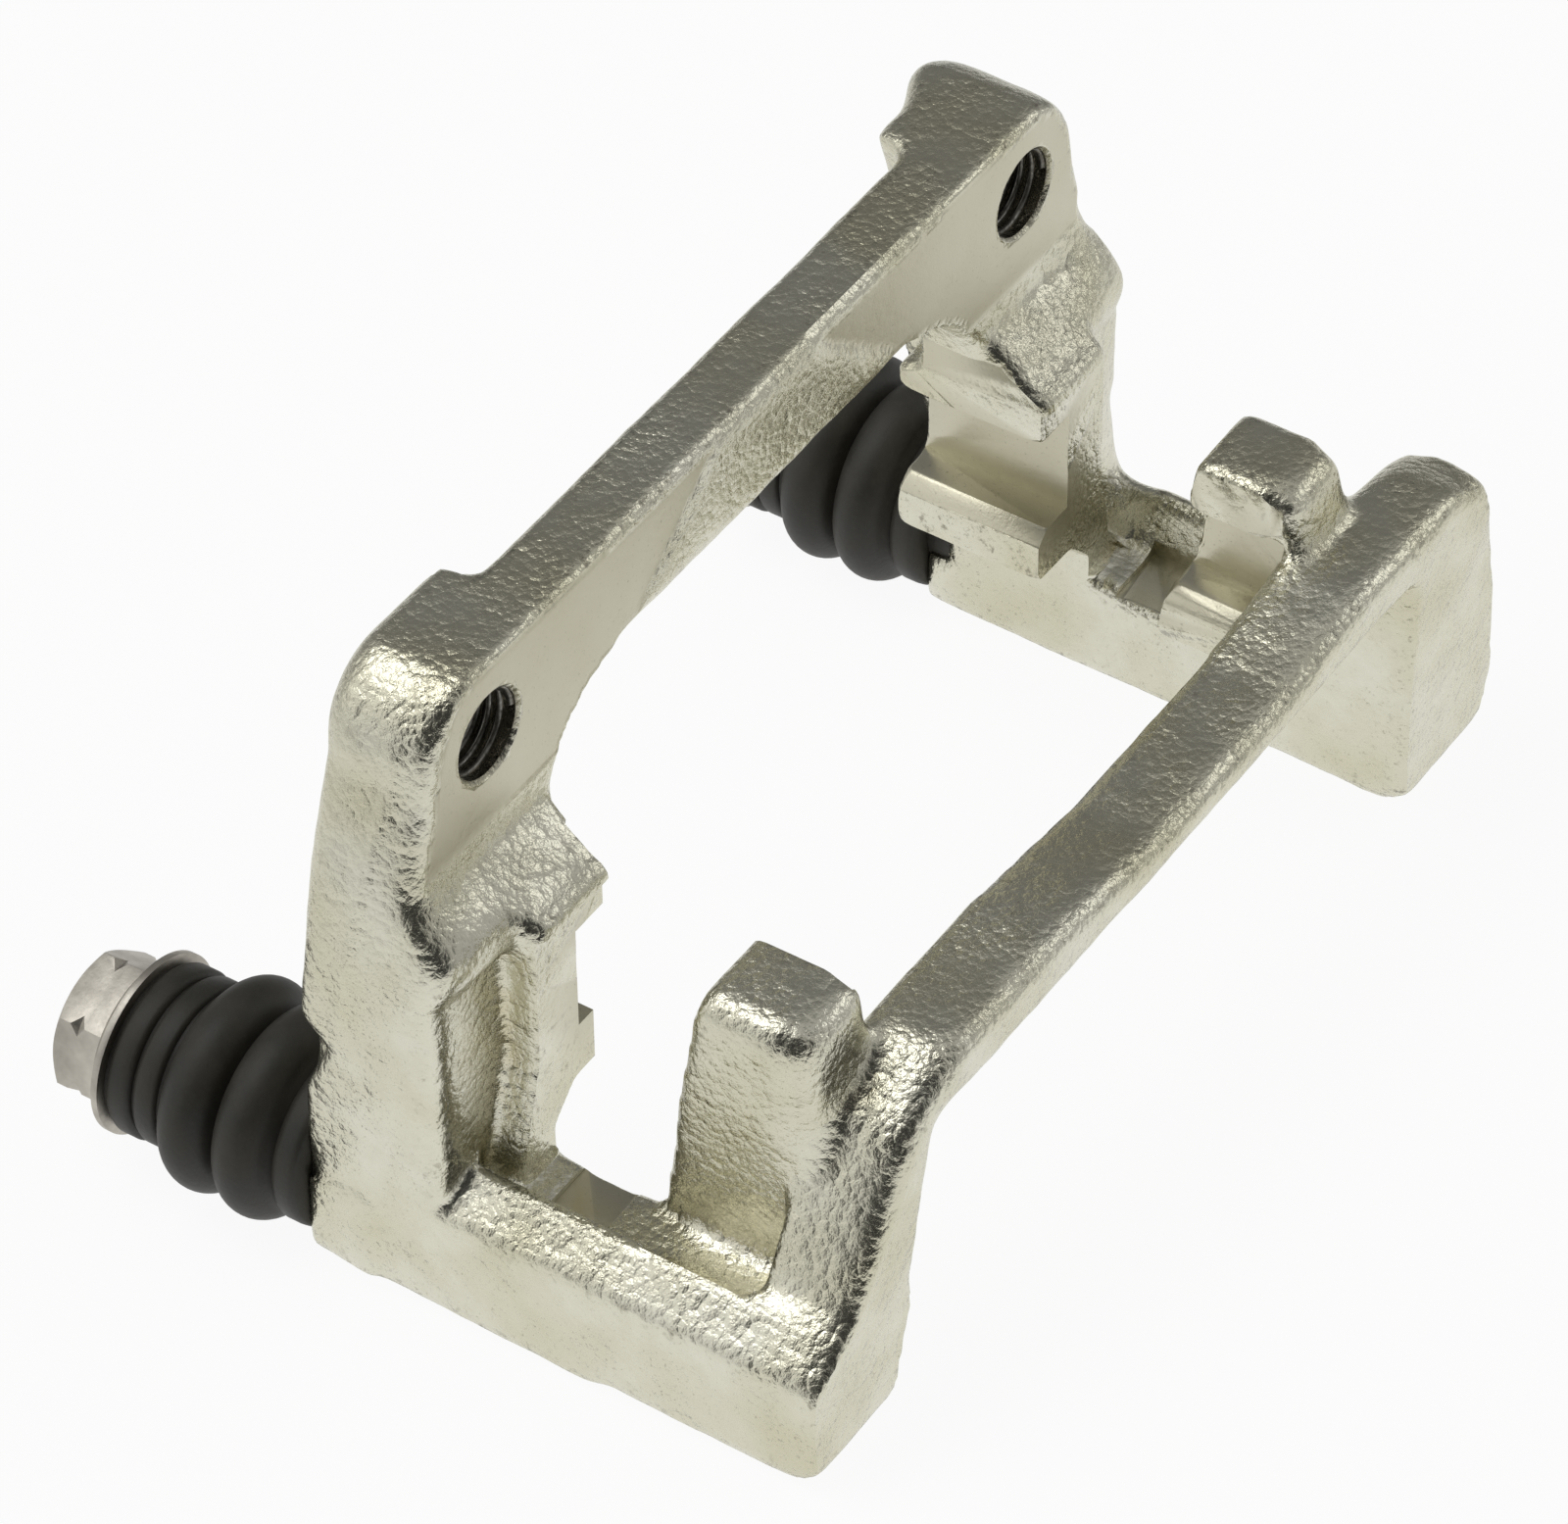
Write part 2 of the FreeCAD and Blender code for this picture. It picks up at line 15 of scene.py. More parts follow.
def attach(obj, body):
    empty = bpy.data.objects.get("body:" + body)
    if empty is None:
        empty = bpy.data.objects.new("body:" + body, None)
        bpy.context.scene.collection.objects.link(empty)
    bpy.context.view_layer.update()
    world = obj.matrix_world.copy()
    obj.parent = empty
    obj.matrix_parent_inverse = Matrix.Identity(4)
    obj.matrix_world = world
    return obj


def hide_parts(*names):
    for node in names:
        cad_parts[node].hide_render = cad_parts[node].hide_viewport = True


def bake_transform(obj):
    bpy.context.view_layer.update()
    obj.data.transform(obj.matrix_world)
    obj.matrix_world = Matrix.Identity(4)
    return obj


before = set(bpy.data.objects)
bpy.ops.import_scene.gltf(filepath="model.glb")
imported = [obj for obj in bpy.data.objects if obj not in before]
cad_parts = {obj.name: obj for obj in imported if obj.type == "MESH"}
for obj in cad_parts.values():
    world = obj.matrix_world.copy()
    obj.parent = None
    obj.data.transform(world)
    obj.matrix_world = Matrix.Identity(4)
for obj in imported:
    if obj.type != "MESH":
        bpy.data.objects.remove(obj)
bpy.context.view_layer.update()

# %% [markdown]
# The drawings of this part count heights from the undersides of its arms, in
# millimetres, while the frame's origin lies at the mounting holes, 76 mm higher.
# One helper turns a drawing position into a place in the frame, so that the numbers
# below stay readable.

# %% Places in drawing millimetres
MM = 0.001
HOLE_HEIGHT = 76.0


def place(x, y, z):
    """A drawing position in millimetres as a point of the frame in metres."""
    return Vector((x * MM, y * MM, (z - HOLE_HEIGHT) * MM))


def link(thing):
    bpy.context.scene.collection.objects.link(thing)
    return thing


# %% [markdown]
# Materials are written as sums and products of patterns. The class Wire wraps a node
# socket and overloads the arithmetic signs, so an expression such as 1 - mask * 0.3
# adds its own Math nodes. Finish holds one material with its principled shader and
# one method, node, that makes any other node.

# %% Shader helpers
class Wire:
    """A node's output that can be reckoned with like a number."""

    def __init__(self, tree, socket):
        self.tree = tree
        self.socket = socket

    def math(self, operation, first, second=None, clamp=False):
        made = self.tree.nodes.new("ShaderNodeMath")
        made.operation = operation
        made.use_clamp = clamp
        for index, value in enumerate((first, second)):
            if isinstance(value, Wire):
                self.tree.links.new(value.socket, made.inputs[index])
            elif value is not None:
                made.inputs[index].default_value = value
        return Wire(self.tree, made.outputs[0])

    def __add__(self, other):
        return self.math("ADD", self, other)

    def __sub__(self, other):
        return self.math("SUBTRACT", self, other)

    def __rsub__(self, other):
        return self.math("SUBTRACT", other, self)

    def __mul__(self, other):
        return self.math("MULTIPLY", self, other)

    __radd__ = __add__
    __rmul__ = __mul__

    def clamp(self):
        return self.math("ADD", self, 0.0, clamp=True)

    def above(self, low, high):
        """0 below low, 1 above high, and a straight ramp between them."""
        return self.math("DIVIDE", self - low, high - low, clamp=True)


class Finish:
    """A material with its principled shader and its pattern nodes."""

    def __init__(self, name):
        self.material = bpy.data.materials.new(name)
        self.material.use_nodes = True
        self.tree = self.material.node_tree
        self.shader = self.tree.nodes["Principled BSDF"]
        self.place = self.wire(self.node("TexCoord"), "Object")

    def node(self, kind, settings=None, values=None):
        """A shader node with its settings and its input values or wires."""
        made = self.tree.nodes.new("ShaderNode" + kind)
        for name, value in (settings or {}).items():
            setattr(made, name, value)
        for name, value in (values or {}).items():
            self.put(made.inputs[name], value)
        return made

    def wire(self, made, output=0):
        return Wire(self.tree, made.outputs[output])

    def put(self, socket, value):
        if isinstance(value, Wire):
            self.tree.links.new(value.socket, socket)
        else:
            socket.default_value = value

    def noise(self, size_mm, detail=3.0, roughness=0.55):
        """Soft noise with features about size_mm across, from 0 to 1."""
        return self.wire(self.node("TexNoise", {}, {
            "Vector": self.place, "Scale": 1 / (size_mm * MM),
            "Detail": detail, "Roughness": roughness}))

    def cells(self, size_mm):
        """Distance from the middles of cells about size_mm across."""
        return self.wire(self.node("TexVoronoi", {"feature": "F1"}, {
            "Vector": self.place, "Scale": 1 / (size_mm * MM)}), "Distance")

    def attribute(self, name):
        """A number that the mesh carries at each point."""
        return self.wire(self.node("Attribute", {"attribute_name": name}), "Fac")

    def mix(self, share, first, second):
        """One colour passing into another."""
        return self.wire(self.node("Mix", {"data_type": "RGBA"}, {
            0: share, 6: first, 7: second}), 2)

    def bump(self, height, depth_mm):
        """A height pattern as a bent normal; a height of 1 is depth_mm high."""
        return self.wire(self.node("Bump", {}, {
            "Height": height, "Distance": depth_mm * MM, "Strength": 1.0}))

    def set(self, **values):
        """Inputs of the principled shader, with _ for the blanks in their names."""
        for name, value in values.items():
            self.put(self.shader.inputs[name.replace("_", " ")], value)


# %% [markdown]
# The casting is poured iron in a sand mould, so its edges are soft and its skin is
# grainy, while milled faces are flat. A voxel remesh of the CAD solid gives an even
# grid of small faces. On such a grid, edges can be softened like a sanded lump and
# each point can carry numbers that the material reads: how rounded it is, how deep
# it lies in a corner, and whether a cutter has been over it.

# %% Even grid over the casting
VOXEL_MM = 0.8


def merged_copy(node, name):
    """A welded copy of a CAD node's loose triangles."""
    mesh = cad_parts[node].data.copy()
    mesh.name = name
    shape = bmesh.new()
    shape.from_mesh(mesh)
    bmesh.ops.remove_doubles(shape, verts=shape.verts, dist=1e-6)
    shape.to_mesh(mesh)
    shape.free()
    mesh.materials.clear()
    return mesh


def made_plain(thing):
    """The object's mesh with its modifiers worked in."""
    graph = bpy.context.evaluated_depsgraph_get()
    mesh = bpy.data.meshes.new_from_object(thing.evaluated_get(graph))
    thing.modifiers.clear()
    thing.data = mesh
    return thing


casting = link(bpy.data.objects.new("casting_skin", merged_copy("bracket", "casting_skin")))
remesh = casting.modifiers.new("even grid", "REMESH")
remesh.mode = "VOXEL"
remesh.voxel_size = VOXEL_MM * MM
made_plain(casting)
print("casting grid:", len(casting.data.vertices), "points")

# %% [markdown]
# Now the grid is read into arrays, in drawing millimetres. A point's neighbours are
# found once, and averaging over them is the one tool for softening, for measuring
# how sharply the surface turns, and for spreading a number over a few millimetres.

# %% Neighbours and averages
def points_of(thing):
    flat = np.empty(len(thing.data.vertices) * 3)
    thing.data.vertices.foreach_get("co", flat)
    return flat.reshape(-1, 3) / MM + [0, 0, HOLE_HEIGHT]


def normals_of(thing):
    flat = np.empty(len(thing.data.vertices) * 3)
    thing.data.vertex_normals.foreach_get("vector", flat)
    return flat.reshape(-1, 3)


def write_points(thing, spots):
    flat = ((spots - [0, 0, HOLE_HEIGHT]) * MM).ravel()
    thing.data.vertices.foreach_set("co", flat)
    thing.data.update()


class Neighbours:
    """The edges of a mesh, for taking the mean over each point's neighbours."""

    def __init__(self, thing):
        pairs = np.empty(len(thing.data.edges) * 2, dtype=np.int64)
        thing.data.edges.foreach_get("vertices", pairs)
        self.one, self.two = pairs.reshape(-1, 2).T
        self.count = len(thing.data.vertices)
        self.degree = (np.bincount(self.one, minlength=self.count)
                       + np.bincount(self.two, minlength=self.count))

    def mean(self, values):
        columns = values.reshape(self.count, -1)
        total = np.empty(columns.shape)
        for index, column in enumerate(columns.T):
            total[:, index] = (np.bincount(self.one, column[self.two], self.count)
                               + np.bincount(self.two, column[self.one], self.count))
        return (total / self.degree[:, None]).reshape(values.shape)

    def spread(self, values, steps):
        for step in range(steps):
            values = self.mean(values)
        return values


def ramp(value, low, high):
    """Smooth step from 0 at low to 1 at high."""
    share = np.clip((value - low) / (high - low), 0, 1)
    return share * share * (3 - 2 * share)


grid = Neighbours(casting)
spots = points_of(casting)

# %% [markdown]
# The CAD solid has straight arms and equal ends. The real casting is less even: its
# underside bellies towards the tie bar, its far ear is thicker, the far channel has a
# higher outer wall, and the far end of the bar is rounder. Each is a soft push on the
# points of one region, and all cast skin starts a little proud, because softening
# takes some of it away again. A region is a product of ramps, one for each side on
# which it ends, with drawing millimetres for where the ramp starts and is full.

# %% Uneven casting
PROUD = 0.35
x, y, z = spots.T
side = np.abs(x)
facing = normals_of(casting)
spots += facing * PROUD
near_belly = np.interp(y, [-56, -48, -26.5, -23.5, 0, 8, 15],
                       [-2.0, -1.2, -0.9, -1.9, -1.4, -1.0, 0])
far_belly = np.interp(y, [-56, -48, 0, 15], [-1.6, -0.6, -0.3, 0])
belly = ramp(9 - z, 0, 8) * np.where(x < 0, near_belly, far_belly)
spots[:, 2] += belly
end_face = ramp(-y, 52, 55) * ramp(32 - z, 0, 10) * ramp(side, 50, 60)
far_foot = ramp(x, 69, 74) * ramp(14 - z, 0, 6) * ramp(-y, 42, 48)
far_ear = ramp(x, 52, 62) * ramp(z, 66, 84) * ramp(y, 6, 14)
beam_back = ramp(z, 76, 82) * ramp(y, 6, 9) * ramp(48 - side, 0, 3)
far_wall = (ramp(x, 66, 70) * ramp(z, 13, 18) * ramp(32 - z, 0, 8) * ramp(2 - y, 0, 4)
            * ramp(y, -46, -42))
far_top = ramp(x, 68, 77) * ramp(z, 36, 44) * ramp(-y, 40, 43)
far_block = ramp(z, 47, 52) * ramp(-y, 28, 30) * ramp(x, 40, 46)
near_block = ramp(-x, 40, 46) * ramp(z, 24, 30) * ramp(y, -35, -33) * ramp(-y, 26, 28)
pushes = (
    (end_face, (0, -0.7, 0)), (far_foot, (2.0, 0, 0)), (far_ear, (0, 3.2, 0)),
    (beam_back, (0, 0.5, 0)), (far_wall, (1.6, 0, 3.4)), (far_top, (0, 0, -2.4)),
    (far_block, (0, 0, 1.5)), (near_block, (0, 0.8, 0)))
for mask, push in pushes:
    spots += mask[:, None] * push

# %% [markdown]
# A foundry leaves a little stock where a cutter will pass later. The fronts and slots
# of the pad abutments stand in known places, so a few lines find their points and push
# them out by the stock. The near lips are milled a little further than the far ones.

# %% Stock on the faces to be milled
STOCK = 0.6
EAR_FOOT, RIB_FRONT, LIP_HALF, SLOT_HALF = 61.0, 8.8, 47.3, 54.0
NEAR_LIP_HALF, NEAR_LOW_LIP_HALF = 48.4, 51.0
SLOT_LOW, SLOT_TOP, LIP_LOW, LIP_TOP = 31.4, 46.8, 24.0, 52.5
ribs = (facing[:, 1] < -0.6) & (np.abs(y + RIB_FRONT) < 0.5) & (side < 68)
lips = ((side < LIP_HALF + 0.5) & (np.abs(facing[:, 0]) > 0.6) & (z < LIP_TOP) & (y < 12)
        & (y > -42.6))
allowance = grid.spread((ribs | lips).astype(float), 1)
spots += facing * (allowance * STOCK)[:, None]
print("points with stock:", int((allowance > 0.5).sum()))

# %% [markdown]
# Softening moves every point towards the mean of its neighbours. It rounds the ridges
# and fills the hollows. Four light passes soften all edges. The tie bar's edges, the
# ears' outer corners, and the roots and feet of the outboard blocks are far rounder
# on the real casting, so these regions get extra passes.

# %% Softened edges
ALL_PASSES, ALL_SHARE, REGION_SHARE = 4, 0.5, 0.6
near_slope = ramp(-x, 42, 48) * ramp(-y, 49.5, 52.5) * ramp(z, 12, 18)
near_knees = ramp(-x, 42, 48) * ramp(-y, 44, 46) * ramp(z, 12, 18)
block_roots = ramp(-y, 40.0, 42.5) * ramp(y, -48, -45.5) * ramp(side, 46, 49) * ramp(z, 30, 36)
block_feet = (ramp(-y, 27, 30) * ramp(y, -43, -41) * ramp(z, 12, 14) * ramp(30 - z, 0, 8)
              * ramp(side, 58.5, 60) * ramp(70 - side, 0, 3))
bar_edge = ramp(-y, 50.0, 52.5) * ramp(z, 12, 20)
crest_edge = ramp(z, 83.0, 85.0) * ramp(12 - y, 0, 2)
corner_edge = ramp(side, 64, 66) * ramp(z, 50, 54) * ramp(6 - y, 0, 2)
skin_step = ramp(1 - y, 0, 0.6) * ramp(34 - side, 0, 4) * ramp(z, 68, 70)
leg_edge = ramp(side, 70, 72) * ramp(z, 20, 24) * ramp(8 - y, 0, 2) * ramp(y, -8, -6)
ledge_edge = ramp(z, 47, 50) * ramp(-y, 2, 4) * ramp(12 - y, 0, 2) * ramp(side, 60, 64)
far_shoulder = ramp(x, 65, 69) * ramp(z, 46, 50) * ramp(68 - z, 0, 4)
far_corner = (ramp(x, 62, 66) * ramp(z, 15, 18) * ramp(36 - z, 0, 4) * ramp(y, -12, -9)
              * ramp(4 - y, 0, 3))
softer = (
    (near_slope, 16), (near_knees, 12), (block_roots, 36), (block_feet, 50), (bar_edge, 6),
    (crest_edge, 8), (corner_edge, 24), (leg_edge, 16), (ledge_edge, 10), (skin_step, 12),
    (far_shoulder, 40), (far_corner, 40))
for step in range(ALL_PASSES):
    spots += ALL_SHARE * (grid.mean(spots) - spots)
for mask, passes in softer:
    for step in range(passes):
        spots += (REGION_SHARE * mask)[:, None] * (grid.mean(spots) - spots)
print("most that softening moved a point:",
      round(float(np.abs(spots - points_of(casting)).max()), 2), "mm")

# %% [markdown]
# A sand mould is never quite even: the skin waves by a tenth of a millimetre, and
# where the two halves of the mould met there is a low ridge, here on the outer faces
# of the legs. Both are small moves along the surface normal. The beam's top and the
# bar's outer face are held to their CAD planes, and the ears' front is ground flat,
# up to the raw skin in the middle of the beam.

# %% Waves and parting ridge
WAVE, RIDGE, RIDGE_HALF = 0.13, 0.35, 0.7
LONG_WAVE, SHORT_WAVE = 7.0, 2.6
BEAM_TOP, BAR_OUTER = 87, -56


def skin_edge_at(height):
    """Half the width of the beam's raw skin, which widens towards the arch."""
    return 7.0 + (88 - height) * 1.25


write_points(casting, spots)
facing = normals_of(casting)
x, y, z = spots.T
side = np.abs(x)
waves = np.array([noise.noise(Vector(spot) / LONG_WAVE)
                  + 0.5 * noise.noise(Vector(spot) / SHORT_WAVE) for spot in spots])
parting = np.interp(z, [40, 47, 58, 74], [10.0, 8.9, 7.6, 5.3])
ridge = (np.exp(-((y - parting) / RIDGE_HALF) ** 2) * ramp(np.abs(facing[:, 0]), 0.75, 0.9)
         * ramp(side, 66, 70) * ramp(z, 36, 40) * ramp(84 - z, 0, 6))
spots += facing * (waves * WAVE + ridge * RIDGE)[:, None]
spots[:, 2] = np.minimum(spots[:, 2], BEAM_TOP)
spots[:, 1] = np.maximum(spots[:, 1], BAR_OUTER)
faced = ramp(z, EAR_FOOT, EAR_FOOT + 3) * ramp(side - skin_edge_at(z), -1, 1) * (y < 1)
spots[:, 1] += faced * (np.maximum(y, 0) - y)
write_points(casting, spots)

# %% [markdown]
# Now the casting is machined, as the real one is. Each cutter is a closed prism or a
# turned form that takes away what a mill or a drill would, down to the CAD sizes. The
# Boolean modifier's Manifold solver is quick even on this fine grid, and leaves the
# crisp edges that only a cutter makes.

# %% Cutters
HOLE_HALF, BORE_RADIUS = 57, 5.8


def solid(name, corners, faces):
    """A closed form with its faces turned outwards."""
    mesh = bpy.data.meshes.new(name)
    mesh.from_pydata(corners, [], faces)
    shape = bmesh.new()
    shape.from_mesh(mesh)
    bmesh.ops.recalc_face_normals(shape, faces=shape.faces)
    shape.to_mesh(mesh)
    shape.free()
    return bpy.data.objects.new(name, mesh)


def prism(name, outline, front, back):
    """A cutter with an outline in X and Z that runs from depth front to depth back."""
    count = len(outline)
    corners = [place(u, depth, v) for depth in (front, back) for u, v in outline]
    walls = [(i, (i + 1) % count, (i + 1) % count + count, i + count) for i in range(count)]
    return solid(name, corners, walls + [tuple(range(count)), tuple(range(count, 2 * count))])


def drill(name, outline, x_mm, z_mm, segments=96):
    """A cutter turned about an axis along Y from (radius, depth) corners."""
    corners, faces = [], []
    for radius, depth in outline:
        for step in range(segments):
            angle = 2 * math.pi * step / segments
            corners.append(place(x_mm + radius * math.cos(angle), depth,
                                 z_mm + radius * math.sin(angle)))
    for ring in range(len(outline) - 1):
        for step in range(segments):
            beside = (step + 1) % segments
            low, high = ring * segments, (ring + 1) * segments
            faces.append((low + step, low + beside, high + beside, high + step))
    faces += [tuple(range(segments)), tuple(range(len(corners) - segments, len(corners)))]
    return solid(name, corners, faces)


def on_side(sign, outline):
    """An outline drawn for the far side, mirrored where sign is -1."""
    return [(u * sign, v) for u, v in outline]


cutters = []
for label, sign, lip in (("near", -1, NEAR_LIP_HALF), ("far", 1, LIP_HALF)):
    cutters += [
        drill(label + "_hole_drill", [(6.9, -0.6), (BORE_RADIUS, 0.5), (BORE_RADIUS, 20)],
              sign * HOLE_HALF, HOLE_HEIGHT),
        prism(label + "_slot_mill", on_side(sign, [
            (39, SLOT_TOP), (SLOT_HALF, SLOT_TOP), (SLOT_HALF, SLOT_LOW), (49.2, SLOT_LOW),
            (lip, 29.5), (39, 29.5)]), -43.5, 13),
        prism(label + "_lip_mill", on_side(sign, [
            (39, LIP_LOW - 4), (lip, LIP_LOW - 4), (lip, 57), (39, 57)]), -43.4, 13.2),
        prism(label + "_rib_mill", on_side(sign, [
            (44, 15.6), (66.6, 15.6), (66.6, 51.4), (44, 51.4)]), -RIB_FRONT - 3, -RIB_FRONT),
        prism(label + "_floor_mill", on_side(sign, [
            (57, 14.2), (69, 14.2), (69, 16.6), (57, 16.6)]), -21, -13)]
cutters.append(prism("near_low_lip_mill", on_side(-1, [
    (39, LIP_LOW - 4), (NEAR_LOW_LIP_HALF, LIP_LOW - 4), (NEAR_LOW_LIP_HALF, SLOT_LOW + 0.1),
    (39, SLOT_LOW + 0.1)]), -12, 13.2))
for cutter in cutters:
    machining = casting.modifiers.new(cutter.name, "BOOLEAN")
    machining.operation = "DIFFERENCE"
    machining.solver = "MANIFOLD"
    machining.object = link(cutter)
made_plain(casting)
for cutter in cutters:
    bpy.data.objects.remove(cutter)
casting.data.materials.clear()
print("machined casting:", len(casting.data.polygons), "faces from", len(grid.degree), "points")

# %% [markdown]
# The material needs four numbers at each point of the finished casting. Cast is 1 on
# raw skin and 0 where a cutter has been, and bore is 1 inside a threaded hole, which
# plating hardly reaches. Crest and hollow say how sharply the surface
# turns: the step from a point to its neighbours' mean, read along the normal, is
# negative on ridges, where the material paints dark reflections, and positive in
# hollows, where stains gather.

# %% Numbers for the material
grid = Neighbours(casting)
spots = points_of(casting)
facing = normals_of(casting)
x, y, z = spots.T
side = np.abs(x)
flat_front = facing[:, 1] < -0.98
milled = ((flat_front & (np.abs(y) < 0.05) & (z > EAR_FOOT + 2) & (side > skin_edge_at(z)))
          | (flat_front & (np.abs(y + RIB_FRONT) < 0.02))
          | ((side < LIP_HALF + 1.2) & (np.abs(facing[:, 0]) > 0.95) & (z > LIP_LOW - 4.1)
             & (z < 57) & (y < 13.2) & (y > -43.4))
          | ((side < SLOT_HALF + 0.02) & (z > 29.4) & (z < SLOT_TOP + 0.02) & (side > 46)
             & (y > -43.6))
          | ((np.abs(z - 14.2) < 0.02) & (side < 69.1)))
cast = 1 - milled.astype(float)
turn = np.einsum("ij,ij->i", grid.mean(spots) - spots, facing)
turn = grid.spread(turn, 2)
crest = grid.spread(ramp(-turn, 0.010, 0.05), 2)
hollow = grid.spread(ramp(turn, 0.010, 0.05), 2)
bore = ((np.hypot(side - HOLE_HALF, z - HOLE_HEIGHT) < BORE_RADIUS + 0.2) & (y > 0.3)).astype(float)
for name, values in (("cast", cast), ("crest", crest), ("hollow", hollow), ("bore", bore)):
    field = casting.data.attributes.new(name, "FLOAT", "POINT")
    field.data.foreach_set("value", values.astype(np.float32))
for face in casting.data.polygons:
    face.use_smooth = True
casting.data.set_sharp_from_angle(angle=math.radians(38))
print("milled share:", round(1 - float(cast.mean()), 3), "rounded share:",
      round(float(crest.mean()), 3), "hollow share:", round(float(hollow.mean()), 3))

# %% [markdown]
# Zinc plating on cast iron is a metal with a pale, slightly green-yellow passivated
# tint. Its grain is the sand's: dents of a millimetre and finer bumps that catch the
# light as sparks, stronger in some patches than in others. Milled faces keep only a
# fine grain. Dark flecks lie about, ridges carry patches of painted dark reflection,
# and hollow corners are a little stained.

# %% Plated iron
plated = Finish("zinc_plated_iron")
grain = plated.noise(0.55, 2.0, 0.6)
lumps = plated.noise(2.2, 1.0, 0.5)
dent = plated.cells(1.15)
fine = plated.noise(0.26, 1.0, 0.5)
cloud = plated.noise(16.0, 2.0, 0.5)
patch = plated.noise(8.0, 1.0, 0.5).above(0.36, 0.62)
cast_here = plated.attribute("cast")
crest_here = plated.attribute("crest")
hollow_here = plated.attribute("hollow")
bore_here = plated.attribute("bore")
speck = plated.noise(0.6, 2.0, 0.7).above(0.62, 0.74)
# Painted reflection: patches of dark colour on the cast ridges stand in for the dark reflections
# along convex corners.
painted_ridge_reflection = plated.noise(1.6, 3.0, 0.65).above(0.58, 0.68) * crest_here * cast_here
stain = plated.noise(4.0, 2.0, 0.6).above(0.45, 0.75) * hollow_here
silver = (0.68, 0.665, 0.555, 1.0)
green = (0.59, 0.565, 0.42, 1.0)
ground = (0.545, 0.52, 0.405, 1.0)
dark = (0.20, 0.185, 0.14, 1.0)
yellow = (0.55, 0.42, 0.17, 1.0)
tint = plated.mix(cloud.above(0.35, 0.7), silver, green)
tint = plated.mix((1 - cast_here) * 0.75, tint, ground)
tint = plated.mix(lumps.above(0.35, 0.75) * 0.22, tint, ground)
tint = plated.mix(speck * (patch * 0.35 + 0.2), tint, dark)
tint = plated.mix(painted_ridge_reflection * 0.7, tint, dark)
tint = plated.mix(stain * 0.35, tint, yellow)
tint = plated.mix(bore_here * 0.85, tint, dark)
crease = 1 - dent * dent * 1.6
height = ((grain * 0.8 + crease * 0.55 + lumps * 0.6) * (patch * 0.5 + 0.55)
          * (cast_here * 0.9 + 0.1) + fine * 0.1)
plated.set(Base_Color=tint, Metallic=1.0,
           Roughness=(cloud * 0.06 + fine * 0.08 + 0.19 + (1 - cast_here) * 0.10).clamp(),
           Normal=plated.bump(height, 0.19))
casting.data.materials.append(plated.material)
casting.data.polygons.foreach_set("material_index", [0] * len(casting.data.polygons))
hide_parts("bracket")
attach(casting, "casting")
print("casting:", len(casting.data.polygons), "faces")

# %% [markdown]
# A tapped thread is one ridge that follows a helix, so Geometry Nodes draw it: a
# spiral curve with the thread's pitch, swept with a small triangle. Named inputs
# give its radius, pitch, turns and depth. The tree ends in Realize Instances and Set
# Material, and its result becomes a plain mesh.

# %% Thread tree
bore_steel = Finish("thread_steel")
rub = bore_steel.noise(0.6, 3.0, 0.6)
bare, oiled = (0.30, 0.29, 0.26, 1), (0.12, 0.115, 0.10, 1)
bore_steel.set(Base_Color=bore_steel.mix(rub.above(0.4, 0.7), bare, oiled), Metallic=1.0,
               Roughness=(rub * 0.3 + 0.25).clamp(), Normal=bore_steel.bump(rub, 0.02))


def thread_tree():
    tree = bpy.data.node_groups.new("Tapped thread", "GeometryNodeTree")
    sockets = {}
    for label, kind in (("Radius", "NodeSocketFloat"), ("Pitch", "NodeSocketFloat"),
                        ("Turns", "NodeSocketFloat"), ("Depth", "NodeSocketFloat"),
                        ("Finish", "NodeSocketMaterial")):
        sockets[label] = tree.interface.new_socket(label, in_out="INPUT", socket_type=kind)
    tree.interface.new_socket("Geometry", in_out="OUTPUT", socket_type="NodeSocketGeometry")
    entry = tree.nodes.new("NodeGroupInput")
    leave = tree.nodes.new("NodeGroupOutput")

    def node(kind, **values):
        made = tree.nodes.new(kind)
        for name, value in values.items():
            socket = made.inputs[name.replace("_", " ")]
            if isinstance(value, bpy.types.NodeSocket):
                tree.links.new(value, socket)
            else:
                socket.default_value = value
        return made

    length = tree.nodes.new("ShaderNodeMath")
    length.operation = "MULTIPLY"
    tree.links.new(entry.outputs["Pitch"], length.inputs[0])
    tree.links.new(entry.outputs["Turns"], length.inputs[1])
    helix = node("GeometryNodeCurveSpiral", Resolution=56, Rotations=entry.outputs["Turns"],
                 Start_Radius=entry.outputs["Radius"], End_Radius=entry.outputs["Radius"],
                 Height=length.outputs[0])
    tooth = node("GeometryNodeCurvePrimitiveCircle", Resolution=3, Radius=entry.outputs["Depth"])
    sweep = node("GeometryNodeCurveToMesh", Curve=helix.outputs[0], Profile_Curve=tooth.outputs[0],
                 Fill_Caps=True)
    real = node("GeometryNodeRealizeInstances", Geometry=sweep.outputs[0])
    coat = node("GeometryNodeSetMaterial", Geometry=real.outputs[0], Material=entry.outputs["Finish"])
    tree.links.new(coat.outputs[0], leave.inputs[0])
    return tree, {label: socket.identifier for label, socket in sockets.items()}


thread, inputs = thread_tree()


